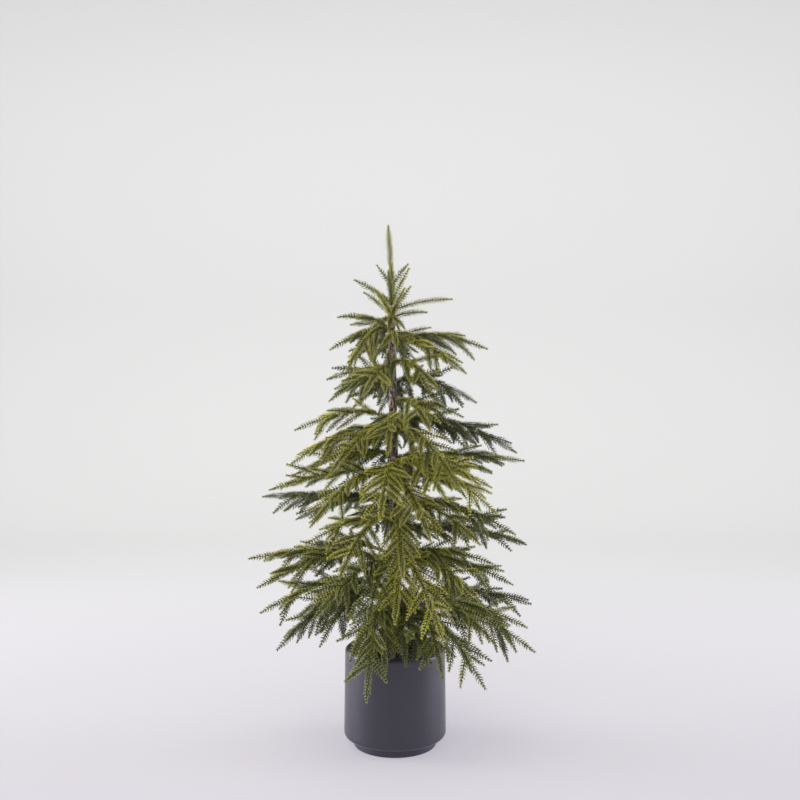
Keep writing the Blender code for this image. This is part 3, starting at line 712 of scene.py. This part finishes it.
def grown(lines, node_tree, settings):
    """The lines' object with its tree applied, as a plain mesh."""
    modifier = lines.modifiers.new("grow", "NODES")
    modifier.node_group = node_tree
    for socket in node_tree.interface.items_tree:
        if socket.in_out == "INPUT" and socket.name in settings:
            modifier[socket.identifier] = settings[socket.name]
    bpy.context.view_layer.update()
    graph = bpy.context.evaluated_depsgraph_get()
    mesh = bpy.data.meshes.new_from_object(lines.evaluated_get(graph), depsgraph=graph)
    lines.modifiers.remove(modifier)
    lines.data = mesh
    mesh.shade_smooth()
    return lines


# Dyed plastic sheath: soft and matt, darker than the needles that grow from it.
sheath = new_material("dyed_plastic_sheath", SHEATH_GREEN, SHEATH_ROUGHNESS)[0]

limb_sprays = []  # each spray with its limb, its random numbers, its line and its fingers
for limb in LIMBS:
    for number, spray in enumerate(limb[4]):
        rng = random.Random(f"{SEED} {limb[0]} {number}")
        line = spray_line(limb, spray)
        limb_sprays.append((limb, spray, rng, line, spray_fingers(limb, line, rng)))


# ======================================================================================
# Leader
# The treetop is one long upright finger on a thinner needled stem. Whorls of fingers slant
# up round it. Two twigs arch out low on the right, and short ones hang over the trunk's end.
# ======================================================================================

LEADER_TOP = 1.203
LEADER_TOP_X = -0.0158
LEADER_BOW = 0.004
LEADER_TIP = 0.088  # length of the top finger, where the needles are close
LEADER_WHORLS = (
    (1.066, ((10, 57, 0.068), (95, 60, 0.062), (182, 59, 0.060), (275, 64, 0.058))),
    (1.026, ((15, 66, 0.098), (85, 48, 0.088), (178, 38, 0.105), (262, 58, 0.088))),
    (0.999, (
        (8, 60, 0.084), (110, 42, 0.088), (166, 44, 0.088), (225, 50, 0.084), (300, 48, 0.084),
    )),
)  # each whorl's height, and the bearing, the steepness and the length of its fingers
LEADER_ARMS = (
    (1.006, 2, 0.137, 30, -0.030), (0.992, -24, 0.084, 24, -0.010), (0.991, 262, 0.046, 10, 0.030),
    (0.991, 212, 0.052, 12, 0.026), (0.991, 310, 0.044, 12, 0.024), (0.991, 70, 0.050, 14, 0.022),
    (0.991, 140, 0.054, 14, 0.018),
)  # the height, bearing, reach, rise and drop of each twig below them


def leader_line():
    """The leader's middle line, from the trunk's end to the treetop."""
    start = trunk_centre(TRUNK_TOP) + UP * CLEAR
    end = Vector((LEADER_TOP_X, 0, LEADER_TOP))
    return arch(start, start.lerp(end, 0.5) + heading(0) * LEADER_BOW, end, SPRAY_STEPS)


def leader_point(height):
    """The point of the leader at this height."""
    for a, b in zip(leader_line(), leader_line()[1:]):
        if b.z >= height:
            return a.lerp(b, (height - a.z) / (b.z - a.z))
    return None


def leader_fingers():
    """The leader's upright fingers, and the twigs that arch out and hang below them."""
    lines = []
    for height, whorl in LEADER_WHORLS:
        for bearing, steepness, length in whorl:
            slope = math.radians(steepness)
            base = leader_point(height)
            tip = base + (heading(bearing) * math.cos(slope) + UP * math.sin(slope)) * length
            sunk_tip = tip - UP * FINGER_SAG * length
            lines.append(arch(base, base.lerp(tip, 0.5), sunk_tip, FINGER_STEPS))
    for height, bearing, reach, rise, drop in LEADER_ARMS:
        base = leader_point(height)
        bend = base + (heading(bearing) + UP * math.tan(math.radians(rise))) * SPRAY_BEND * reach
        end = base + heading(bearing) * reach - UP * drop
        lines.append(arch(base, bend, end, SPRAY_STEPS))
    return lines


# ======================================================================================
# Needles
# Moulded in soft polyethylene in open rings round every twig: awl-shaped, curved in towards
# the twig's tip, and darker below their waist, which is painted shade near the twig. Each batch
# of sprays has its own green, from a yellowish olive in front to a dusky green behind: painted
# light in front and painted shade to the sides and behind.
# ======================================================================================

SEED_STEP = 10  # between one batch's seed and the next
NEEDLE_SIDES = 3
NEEDLE_LENGTH = 0.0120
NEEDLE_WIDTH = 0.00122  # radius where it is widest
NEEDLE_WAIST = 0.50  # where it is widest, as a share of its length
NEEDLE_CURL = 0.0018  # how far its point bends in
RING_PITCH = 0.0061  # from one ring of needles to the next
SPARSE_PITCH = 0.0070  # on the leader's stem
CLOSE_PITCH = 0.0049  # on the leader's own tip
RING_NEEDLES = 7
RING_TURN = 7.0  # degrees that each ring is turned from the one below
NEEDLE_LEAN = 61.0  # degrees off the twig
LEAN_RANGE = 7.0
TIP_LEAN = 32.0
TIP_ROUND = 0.026  # the length over which a twig's needles close in to its tip
TIP_SMALL = 0.68
SIZE_RANGE = 0.14
MOST_NEEDLES = 30000  # in one piece

GREENS = {
    "lime": "#c4c548",
    "yellow_olive": "#b0af49",
    "olive": "#9d9c44",
    "moss": "#838841",
    "deep": "#616635",
    "dusk": "#4c5031",
    "shade": "#3b3c28",
}
TONES = tuple(GREENS)
DYE_ROUGHNESS = 0.50
HEEL_DARKER = 3  # by how many tones a needle is darker below its waist: painted shade near its twig
TONE_SHIFTS = (-1, 0, 0, 0, 0, 1)  # how a finger may differ from its spray
FRONT_FACING = 0.35  # a spray counts as a front one from here on, with 1 for straight ahead
FRONT_TONE = 2
SIDE_TONE = 3
# The limbs from batches of their own: deep ones on the sides and behind and moss green ones low
# down over the pot, as painted shade, and yellowish ones at the waist, as painted light. The rest
# follow where they face.
OWN_TONES = {
    "upper_right": 4, "mid_right": 4, "low_left": 4, "low_back_right": 4, "skirt_back": 4,
    "base_back": 5, "base_back_right": 4, "base_back_left": 4, "skirt_back_left": 4,
    "mid_left": 2, "mid_front_left": 2, "waist_left": 2, "waist_front": 1, "waist_front_right": 1,
    "skirt_front_left": 3, "skirt_left": 3, "base_left": 3, "base_low_left": 4, "base_right": 3,
    "base_front": 4, "base_front_left": 3, "base_front_right": 3, "skirt_front_right": 1,
}


def needle():
    """One needle along +Z, bent towards +Y: a closed spindle with its heel's faces marked."""
    points = [(0, 0, 0)]
    for k in range(NEEDLE_SIDES):
        angle = 2 * math.pi * k / NEEDLE_SIDES
        points.append((
            NEEDLE_WIDTH * math.cos(angle),
            NEEDLE_WIDTH * math.sin(angle) + NEEDLE_CURL * NEEDLE_WAIST ** 2,
            NEEDLE_LENGTH * NEEDLE_WAIST,
        ))
    points.append((0, NEEDLE_CURL, NEEDLE_LENGTH))
    faces = []
    for k in range(NEEDLE_SIDES):
        after = (k + 1) % NEEDLE_SIDES
        faces += [(0, 1 + after, 1 + k), (1 + k, 1 + after, len(points) - 1)]
    made = new_piece("one_needle", points, faces, sheath)
    heel = made.data.attributes.new("heel", "BOOLEAN", "FACE")
    heel.data.foreach_set("value", [True, False] * NEEDLE_SIDES)
    return made


def needle_tree():
    """Geometry nodes that set rings of needles along each line and close them at its tip."""
    made = bpy.data.node_groups.new("needled_twigs", "GeometryNodeTree")
    for name, kind in (
        ("Geometry", "Geometry"), ("Needle", "Object"), ("In a ring", "Int"), ("Turn", "Float"),
        ("Lean", "Float"), ("Tip lean", "Float"), ("Tip length", "Float"), ("Tip size", "Float"),
        ("Size range", "Float"), ("Lean range", "Float"), ("Seed", "Int"), ("Dye", "Material"),
        ("Heel dye", "Material"),
    ):
        made.interface.new_socket(name, in_out="INPUT", socket_type="NodeSocket" + kind)
    made.interface.new_socket("Geometry", in_out="OUTPUT", socket_type="NodeSocketGeometry")
    given = add(made, "NodeGroupInput").outputs
    pitch = add(made, "GeometryNodeInputNamedAttribute", {"Name": "pitch"}, data_type="FLOAT")
    curves = add(made, "GeometryNodeMeshToCurve", {"Mesh": given["Geometry"]})
    stepped = add(made, "GeometryNodeResampleCurve", {
        "Curve": curves.outputs[0], "Length": pitch.outputs["Attribute"],
    }, mode="LENGTH")
    way = add(made, "GeometryNodeSplineParameter")
    whole = add(made, "GeometryNodeSplineLength")
    left = add(made, "ShaderNodeMath", {
        0: whole.outputs["Length"], 1: way.outputs["Length"],
    }, operation="SUBTRACT")
    opened = add(made, "ShaderNodeMapRange", {
        "Value": left.outputs[0], "From Max": given["Tip length"],
    }, interpolation_type="SMOOTHSTEP")
    tangent = add(made, "GeometryNodeInputTangent")
    forward = add(made, "FunctionNodeAlignRotationToVector", {
        "Vector": tangent.outputs[0],
    }, axis="Z")
    index = add(made, "GeometryNodeInputIndex")
    turn = add(made, "ShaderNodeMath", {
        0: index.outputs[0], 1: given["Turn"],
    }, operation="MULTIPLY")
    points = stepped
    for name, kind, value in (
        ("opened", "FLOAT", opened.outputs[0]), ("forward", "QUATERNION", forward.outputs[0]),
        ("turn", "FLOAT", turn.outputs[0]),
    ):
        points = add(made, "GeometryNodeStoreNamedAttribute", {
            "Geometry": points.outputs[0], "Name": name, "Value": value,
        }, data_type=kind, domain="POINT")
    rings = add(made, "GeometryNodeDuplicateElements", {
        "Geometry": points.outputs[0], "Amount": given["In a ring"],
    }, domain="POINT")
    opened, forward, turn = (
        add(made, "GeometryNodeInputNamedAttribute", {"Name": name}, data_type=kind)
        for name, kind in (("opened", "FLOAT"), ("forward", "QUATERNION"), ("turn", "FLOAT"))
    )
    share = add(made, "ShaderNodeMath", {0: 360.0, 1: given["In a ring"]}, operation="DIVIDE")
    angle = add(made, "ShaderNodeMath", {
        0: rings.outputs[1], 1: share.outputs[0], 2: turn.outputs["Attribute"],
    }, operation="MULTIPLY_ADD")
    spin = add(made, "ShaderNodeMath", {0: angle.outputs[0]}, operation="RADIANS")
    lean = add(made, "ShaderNodeMix", {
        0: opened.outputs["Attribute"], 2: given["Tip lean"], 3: given["Lean"],
    })
    less = add(made, "ShaderNodeMath", {0: given["Lean range"], 1: -1.0}, operation="MULTIPLY")
    stray = add(made, "FunctionNodeRandomValue", {
        2: less.outputs[0], 3: given["Lean range"], "Seed": given["Seed"],
    }, data_type="FLOAT")
    leaning = add(made, "ShaderNodeMath", {
        0: lean.outputs[0], 1: stray.outputs[1],
    }, operation="ADD")
    lean_angle = add(made, "ShaderNodeMath", {0: leaning.outputs[0]}, operation="RADIANS")
    size = add(made, "ShaderNodeMix", {
        0: opened.outputs["Attribute"], 2: given["Tip size"], 3: 1.0,
    })
    smallest = add(made, "ShaderNodeMath", {0: 1.0, 1: given["Size range"]}, operation="SUBTRACT")
    largest = add(made, "ShaderNodeMath", {0: 1.0, 1: given["Size range"]}, operation="ADD")
    other_seed = add(made, "ShaderNodeMath", {0: given["Seed"], 1: 1.0}, operation="ADD")
    varied = add(made, "FunctionNodeRandomValue", {
        2: smallest.outputs[0], 3: largest.outputs[0], "Seed": other_seed.outputs[0],
    }, data_type="FLOAT")
    sized = add(made, "ShaderNodeMath", {
        0: size.outputs[0], 1: varied.outputs[1],
    }, operation="MULTIPLY")
    about_twig, off_twig = (
        add(made, "FunctionNodeAxisAngleToRotation", {"Axis": axis, "Angle": turned_by.outputs[0]})
        for axis, turned_by in (((0, 0, 1), spin), ((1, 0, 0), lean_angle))
    )
    spun = add(made, "FunctionNodeRotateRotation", {
        0: forward.outputs["Attribute"], 1: about_twig.outputs[0],
    }, rotation_space="LOCAL")
    leant = add(made, "FunctionNodeRotateRotation", {
        0: spun.outputs[0], 1: off_twig.outputs[0],
    }, rotation_space="LOCAL")
    shape = add(made, "GeometryNodeObjectInfo", {
        "Object": given["Needle"],
    }, transform_space="ORIGINAL")
    placed = add(made, "GeometryNodeInstanceOnPoints", {
        "Points": rings.outputs[0], "Instance": shape.outputs["Geometry"],
        "Rotation": leant.outputs[0], "Scale": sized.outputs[0],
    })
    real = add(made, "GeometryNodeRealizeInstances", {"Geometry": placed.outputs[0]})
    dyed = add(made, "GeometryNodeSetMaterial", {
        "Geometry": real.outputs[0], "Material": given["Dye"],
    })
    # Painted shade: the heels take a deeper green.
    heel = add(made, "GeometryNodeInputNamedAttribute", {"Name": "heel"}, data_type="BOOLEAN")
    done = add(made, "GeometryNodeSetMaterial", {
        "Geometry": dyed.outputs[0], "Selection": heel.outputs["Attribute"],
        "Material": given["Heel dye"],
    })
    add(made, "NodeGroupOutput", {"Geometry": done.outputs[0]})
    return made


def spray_tone(limb, spray):
    """A spray's green, as painted light and shade: olive in front, deeper to the sides and behind.
    """
    if limb[0] in OWN_TONES:
        return OWN_TONES[limb[0]]
    facing = heading(spray[0]).dot(Vector((0, -1, 0)))
    return FRONT_TONE if facing > FRONT_FACING else SIDE_TONE


def tone_name(tone):
    """The name of the green at this place, or of the first or last one past the ends."""
    return TONES[min(max(tone, 0), len(TONES) - 1)]


needled = {tone: [] for tone in TONES}  # each tone's lines, with the pitch of their rings
wires = []  # every line, with its wire's radius at the root
for limb, spray, rng, line, fingers in limb_sprays:
    tone = spray_tone(limb, spray)
    wires.append((line, SPRAY_WIRE))
    needled[tone_name(tone)].append((line, RING_PITCH))
    for finger in fingers:
        wires.append((finger, FINGER_WIRE))
        needled[tone_name(tone + rng.choice(TONE_SHIFTS))].append((finger, RING_PITCH))

# Root twigs take a green one tone deeper than their limb's: painted shade under the limb by the
# trunk.
for limb in LIMBS:
    for twig in root_twigs(limb):
        wires.append((twig, FINGER_WIRE))
        needled[tone_name(spray_tone(limb, limb[4][0]) + 1)].append((twig, RING_PITCH))

rng = random.Random(f"{SEED} leader")
line = leader_line()
wires.append((line, SPRAY_WIRE))
stem_points = [point for point in line if point.z < LEADER_TOP - LEADER_TIP]
needled["moss"].append((stem_points, SPARSE_PITCH))
needled["olive"].append((line[len(stem_points) - 1:], CLOSE_PITCH))
for finger in leader_fingers():
    wires.append((finger, FINGER_WIRE))
    needled[tone_name(FRONT_TONE + rng.choice(TONE_SHIFTS))].append((finger, RING_PITCH))

stems = line_mesh("spray_wires", *zip(*wires), "root_radius")
grown(stems, wire_tree(), {"Wire tip radius": WIRE_TIP, "Sheath": sheath})
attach(stems, "root")

# Dyed polyethylene: soft, waxy and a little glossy on the needles' edges.
dyes = {
    tone: new_material(tone + "_polyethylene", green, DYE_ROUGHNESS)[0]
    for tone, green in GREENS.items()
}
pattern = needle()
setting = needle_tree()
batches = []  # of lines of one tone, each small enough for one piece
for tone, lines in needled.items():
    count = 0
    for line, pitch in lines:
        if not batches or batches[-1][0] != tone or count > MOST_NEEDLES:
            batches.append((tone, []))
            count = 0
        batches[-1][1].append((line, pitch))
        count += RING_NEEDLES * length_of(line) / pitch
for number, (tone, lines) in enumerate(batches):
    brush = line_mesh(f"{tone}_needles_{number}", *zip(*lines), "pitch")
    grown(brush, setting, {
        "Needle": pattern, "In a ring": RING_NEEDLES, "Turn": RING_TURN, "Lean": NEEDLE_LEAN,
        "Tip lean": TIP_LEAN, "Tip length": TIP_ROUND, "Tip size": TIP_SMALL,
        "Size range": SIZE_RANGE, "Lean range": LEAN_RANGE, "Seed": number * SEED_STEP,
        "Dye": dyes[tone], "Heel dye": dyes[tone_name(TONES.index(tone) + HEEL_DARKER)],
    })
    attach(brush, "root")
bpy.data.objects.remove(pattern)
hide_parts("leader", *(limb[0] + "_foliage" for limb in LIMBS))


# ======================================================================================
# Studio
# A seamless pale backdrop that curves up behind the tree, with its own wash of light. The
# tree has soft light from overhead and from the front, and a low window on each side.
# ======================================================================================

WALL_PAPER = "#a2a3a2"
WALL_GLOW = "#939293"
FLOOR_PAPER = "#8b8c88"
FLOOR_GLOW = "#a9a5b1"
TINT_FRONT = -0.3  # the floor's colour and painted lilac glow are full in front of here
TINT_BACK = 2.6  # and is gone from here on
BACKDROP_WIDTH = 14.0
BACKDROP_FRONT = -6.0
BACKDROP_BACK = 3.0
BACKDROP_BEND = 1.5
BACKDROP_TOP = 7.0
BEND_STEPS = 24

PAPER_ROUGHNESS = 0.9
PAPER_SHINE = 0.1
SKY = "#f8f8fa"
SKY_STRENGTH = 0.57

EYE_X = 0.0115
EYE_DISTANCE = 2.15
EYE_HEIGHT = 0.80
LENS = 41.4
SENSOR = 36

# Seamless paper: dull and evenly bright on the wall. It glows as painted light, which lifts the
# shade round the pot and gives the floor a faint lilac cast.
paper, tree, shader = new_material("backdrop_paper", WALL_PAPER, PAPER_ROUGHNESS)
shader.inputs["Specular IOR Level"].default_value = PAPER_SHINE
shader.inputs["Emission Strength"].default_value = 1.0
place = add(tree, "ShaderNodeTexCoord")
depth = add(tree, "ShaderNodeSeparateXYZ", {"Vector": place.outputs["Object"]})
share = add(tree, "ShaderNodeMapRange", {
    "Value": depth.outputs["Y"], "From Min": TINT_FRONT, "From Max": TINT_BACK,
})
for socket, near, far in (
    ("Base Color", FLOOR_PAPER, WALL_PAPER), ("Emission Color", FLOOR_GLOW, WALL_GLOW),
):
    mixed = add(tree, "ShaderNodeMix", {
        0: share.outputs["Result"], 6: linear(near), 7: linear(far),
    }, data_type="RGBA")
    tree.links.new(mixed.outputs[2], shader.inputs[socket])
line = [(BACKDROP_FRONT, 0.0), (BACKDROP_BACK, 0.0)]
for step in range(1, BEND_STEPS + 1):
    angle = math.pi / 2 * step / BEND_STEPS
    out = BACKDROP_BACK + BACKDROP_BEND * math.sin(angle)
    line.append((out, BACKDROP_BEND * (1 - math.cos(angle))))
line.append((BACKDROP_BACK + BACKDROP_BEND, BACKDROP_TOP))
points = [(side * BACKDROP_WIDTH / 2, y, z) for y, z in line for side in (-1, 1)]
faces = [(2 * n, 2 * n + 1, 2 * n + 3, 2 * n + 2) for n in range(len(line) - 1)]
backdrop = new_piece("backdrop", points, faces, paper)

world = bpy.data.worlds.new("studio")
world.use_nodes = True
sky = world.node_tree.nodes["Background"]
sky.inputs["Color"].default_value = linear(SKY)
sky.inputs["Strength"].default_value = SKY_STRENGTH
bpy.context.scene.world = world

# Each large rectangular lamp: its place, what it is turned towards, its width and height,
# watts, colour and spread in degrees, and whether it shows in glossy reflections.
LAMPS = {
    "overhead": ((-0.5, -0.6, 3.4), (0, 0, 0), 3.0, 3.0, 45, "#fff4ea", 180, True),
    "left_window": ((-4.0, 0.55, 0.75), (0, 0, 0.5), 2.4, 1.5, 51, "#f5f1ff", 80, True),
    "right_window": ((4.0, 0.5, 0.75), (0, 0, 0.5), 2.4, 1.5, 37, "#f1edff", 80, True),
    "front_fill": ((-0.8, -4.2, 1.4), (0, 0, 0.4), 3.0, 1.6, 85, "#fffefa", 180, False),
    "backdrop_wash": ((0, 1.0, 4.2), (0, 4.5, 0.7), 11.0, 1.0, 158, "#ffffff", 130, False),
}
for name, (place, target, width, height, watts, colour, spread, glossy) in LAMPS.items():
    lamp = bpy.data.lights.new(name, "AREA")
    lamp.shape = "RECTANGLE"
    lamp.size = width
    lamp.size_y = height
    lamp.energy = watts
    lamp.color = linear(colour)[:3]
    lamp.spread = math.radians(spread)
    hung = bpy.data.objects.new(name, lamp)
    hung.location = place
    hung.rotation_euler = (Vector(target) - Vector(place)).to_track_quat("-Z", "Y").to_euler()
    hung.visible_glossy = glossy
    bpy.context.scene.collection.objects.link(hung)

# The camera looks level from in front, a little over half the tree's height.
eye = bpy.data.cameras.new("eye")
eye.lens = LENS
eye.sensor_width = SENSOR
camera = bpy.data.objects.new("eye", eye)
camera.location = (EYE_X, -EYE_DISTANCE, EYE_HEIGHT)
camera.rotation_euler = (math.pi / 2, 0, 0)
bpy.context.scene.collection.objects.link(camera)
bpy.context.scene.camera = camera
bpy.context.scene.view_settings.view_transform = "Standard"
